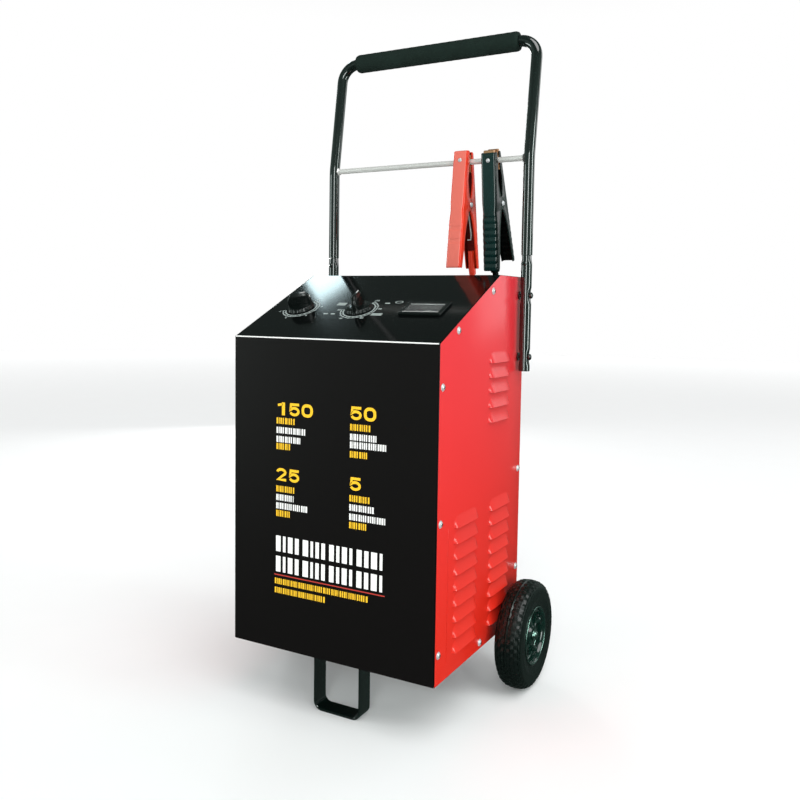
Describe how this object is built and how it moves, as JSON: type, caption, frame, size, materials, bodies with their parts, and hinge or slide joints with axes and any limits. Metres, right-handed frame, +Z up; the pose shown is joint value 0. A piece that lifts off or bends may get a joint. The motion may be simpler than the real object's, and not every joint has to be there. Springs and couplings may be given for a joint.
{
  "type": "wheeled battery charger",
  "caption": "Upright sheet-metal battery charger with a sloped control panel, wheels, foot loop, U handle with a crossbar, and spring clamps on leads.",
  "frame": {"origin": "on the floor, under the middle of the object's bounding box (leads left out)", "axes": "+Z up, the front panel and its controls face -Y, +X to the right of someone facing the front"},
  "size_m": [0.4052, 0.4295, 0.9407],
  "materials": {
    "red_paint": "gloss paint on sheet steel",
    "black_paint": "satin and gloss paint on sheet steel",
    "gloss_tube": "gloss powder coat",
    "foam": "closed-cell foam",
    "tyre": "moulded tread",
    "hub": "gloss",
    "zinc": "bright zinc plate",
    "black_plastic": "satin",
    "dial_card": "printed card",
    "needle": "painted",
    "lens": "clear acrylic",
    "bakelite": "moulded",
    "aluminium": "mill finish",
    "core": "varnished steel laminations",
    "winding": "enamelled copper wire",
    "red_vinyl": "gloss vinyl coat; soft PVC on the leads",
    "black_vinyl": "gloss vinyl coat; soft PVC on the leads",
    "copper": "copper plate"
  },
  "bodies": {
    "case": {"left_side_panel": "red_paint", "right_side_panel": "red_paint", "front_cover": "black_paint", "rear_panel": "black_paint", "base_pan": "black_paint", "foot_loop": "gloss_tube", "handle_upper": "gloss_tube", "left_handle_tube": "gloss_tube", "right_handle_tube": "gloss_tube", "grip": "foam", "left_axle_cap": "zinc", "right_axle_cap": "zinc", "axle": "zinc", "left_axle_saddle": "zinc", "right_axle_saddle": "zinc", "crossbar": "zinc", "left_handle_bolt_1": "zinc", "left_handle_bolt_2": "zinc", "right_handle_bolt_1": "zinc", "right_handle_bolt_2": "zinc", "left_handle_screw": "zinc", "right_handle_screw": "zinc", "red_clamp_pin": "zinc", "black_clamp_pin": "zinc", "red_clamp_spring": "zinc", "black_clamp_spring": "zinc", "ammeter_housing": "black_plastic", "red_lead_gland": "black_plastic", "black_lead_gland": "black_plastic", "mains_gland": "black_plastic", "ammeter_dial": "dial_card", "ammeter_lens": "lens", "selector_switch": "bakelite", "rectifier_block": "bakelite", "charge_timer": "aluminium", "rectifier_plate": "aluminium", "transformer_core": "core", "transformer_winding": "winding", "red_clamp_rear_half": "red_vinyl", "red_lead_to_coil": "red_vinyl", "red_lead_to_clamp": "red_vinyl", "red_lead_coil": "red_vinyl", "black_clamp_front_half": "black_vinyl", "black_lead_to_coil": "black_vinyl", "black_lead_to_clamp": "black_vinyl", "black_lead_coil": "black_vinyl", "red_clamp_rear_jaw": "copper", "black_clamp_front_jaw": "copper"},
    "right_wheel": {"right_tyre": "tyre", "right_hub": "hub"},
    "left_wheel": {"left_tyre": "tyre", "left_hub": "hub"},
    "selector_knob": {"selector_knob": "black_plastic"},
    "timer_knob": {"timer_knob": "black_plastic"},
    "needle": {"ammeter_needle": "needle"},
    "red_clamp_front": {"red_clamp_front_half": "red_vinyl", "red_clamp_front_jaw": "copper"},
    "black_clamp_rear": {"black_clamp_rear_half": "black_vinyl", "black_clamp_rear_jaw": "copper"}
  },
  "joints": [
    {"name": "right_wheel_spin", "type": "hinge", "parent": "case", "child": "right_wheel", "pos_m": [0.1815, 0.0689, 0.076], "axis": [1, 0, 0], "continuous": true},
    {"name": "left_wheel_spin", "type": "hinge", "parent": "case", "child": "left_wheel", "pos_m": [-0.1815, 0.0689, 0.076], "axis": [1, 0, 0], "continuous": true},
    {"name": "selector_turn", "type": "hinge", "parent": "case", "child": "selector_knob", "pos_m": [-0.102, -0.08721, 0.53746], "axis": [0, -0.4314, 0.9022], "range_deg": [-90, 90]},
    {"name": "timer_turn", "type": "hinge", "parent": "case", "child": "timer_knob", "pos_m": [-0.007, -0.08721, 0.53746], "axis": [0, -0.4314, 0.9022], "range_deg": [-270, 45]},
    {"name": "needle_swing", "type": "hinge", "parent": "case", "child": "needle", "pos_m": [0.091, -0.09235, 0.535], "axis": [0, -0.4314, 0.9022], "range_deg": [-90, 0], "stiffness_Nm_per_rad": 0.0002, "springref_deg": 22.92},
    {"name": "red_clamp_squeeze", "type": "hinge", "parent": "case", "child": "red_clamp_front", "pos_m": [0.0635, 0.09052, 0.69302], "axis": [1, 0, 0], "range_deg": [0, 20], "stiffness_Nm_per_rad": 3, "springref_deg": -28.65},
    {"name": "black_clamp_squeeze", "type": "hinge", "parent": "case", "child": "black_clamp_rear", "pos_m": [0.1075, 0.10495, 0.69511], "axis": [1, 0, 0], "range_deg": [-20, 0], "stiffness_Nm_per_rad": 3, "springref_deg": 28.65}
  ]
}
